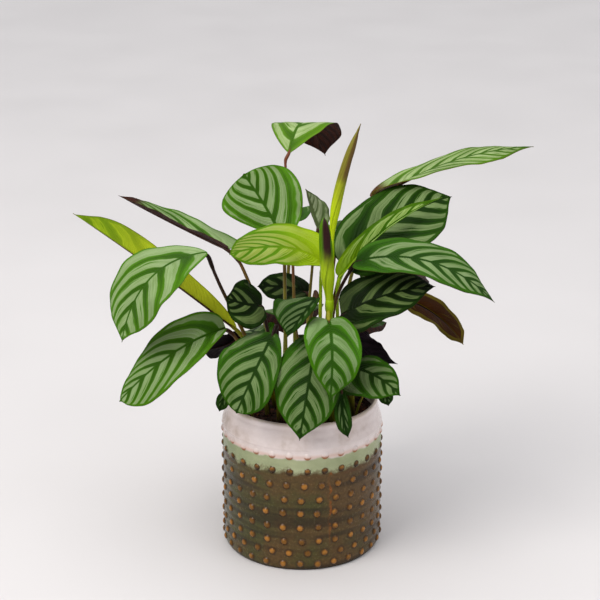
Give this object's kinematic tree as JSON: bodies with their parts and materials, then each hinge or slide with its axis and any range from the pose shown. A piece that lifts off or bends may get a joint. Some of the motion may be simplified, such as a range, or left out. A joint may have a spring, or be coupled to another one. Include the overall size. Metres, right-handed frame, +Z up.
{
  "type": "potted ctenanthe",
  "caption": "Tropical house plant with striped oval leaves on thin stalks, standing in soil in a knobbed glazed stoneware pot.",
  "frame": {"origin": "centre of the pot's flat foot, on the surface that it stands on", "axes": "+Z up along the pot's axis; the picture looks along +Y and 20 degrees down, with +X to its right"},
  "size_m": [0.4004, 0.2444, 0.3722],
  "materials": {
    "glazed_stoneware": "glossy mottled olive-brown glaze with rust knobs, celadon band and white collar",
    "potting_soil": "matt, crumbly",
    "mature_leaf": "satin, dark green stripes on grey-green, maroon underside",
    "young_leaf": "satin, lime green with faint stripes"
  },
  "bodies": {
    "root": {"leaf_01_left_broad": "young_leaf", "leaf_02_left_rolled": "young_leaf", "leaf_03_upper_left": "mature_leaf", "leaf_04_lime_centre": "young_leaf", "leaf_05_top": "mature_leaf", "leaf_06_upper_round": "mature_leaf", "leaf_07_spear_tall": "young_leaf", "leaf_08_spear_short": "young_leaf", "leaf_09_small_back": "mature_leaf", "leaf_10_top_right": "mature_leaf", "leaf_11_right_oval": "mature_leaf", "leaf_12_lime_narrow": "young_leaf", "leaf_13_right_arching": "mature_leaf", "leaf_14_right_dark": "mature_leaf", "leaf_15_right_under": "mature_leaf", "leaf_16_left_low": "mature_leaf", "leaf_17_front_left_round": "mature_leaf", "leaf_18_front_centre": "mature_leaf", "leaf_19_front_bright": "mature_leaf", "leaf_20_right_front_small": "mature_leaf", "leaf_21_right_purple": "mature_leaf", "leaf_22_rim_right": "mature_leaf", "leaf_23_centre_hanging": "mature_leaf", "leaf_24_left_dark": "mature_leaf", "leaf_25_back_dark": "mature_leaf", "leaf_26_left_under": "mature_leaf", "leaf_27_rim_left": "mature_leaf", "leaf_28_rim_right_nub": "mature_leaf", "leaf_29_back_left": "mature_leaf", "leaf_30_back": "mature_leaf", "leaf_31_back_right": "mature_leaf", "leaf_32_back_low_left": "mature_leaf", "leaf_33_back_low": "mature_leaf", "leaf_34_back_low_right": "mature_leaf", "leaf_35_back_high": "mature_leaf", "pot": "glazed_stoneware", "soil": "potting_soil"}
  },
  "joints": []
}
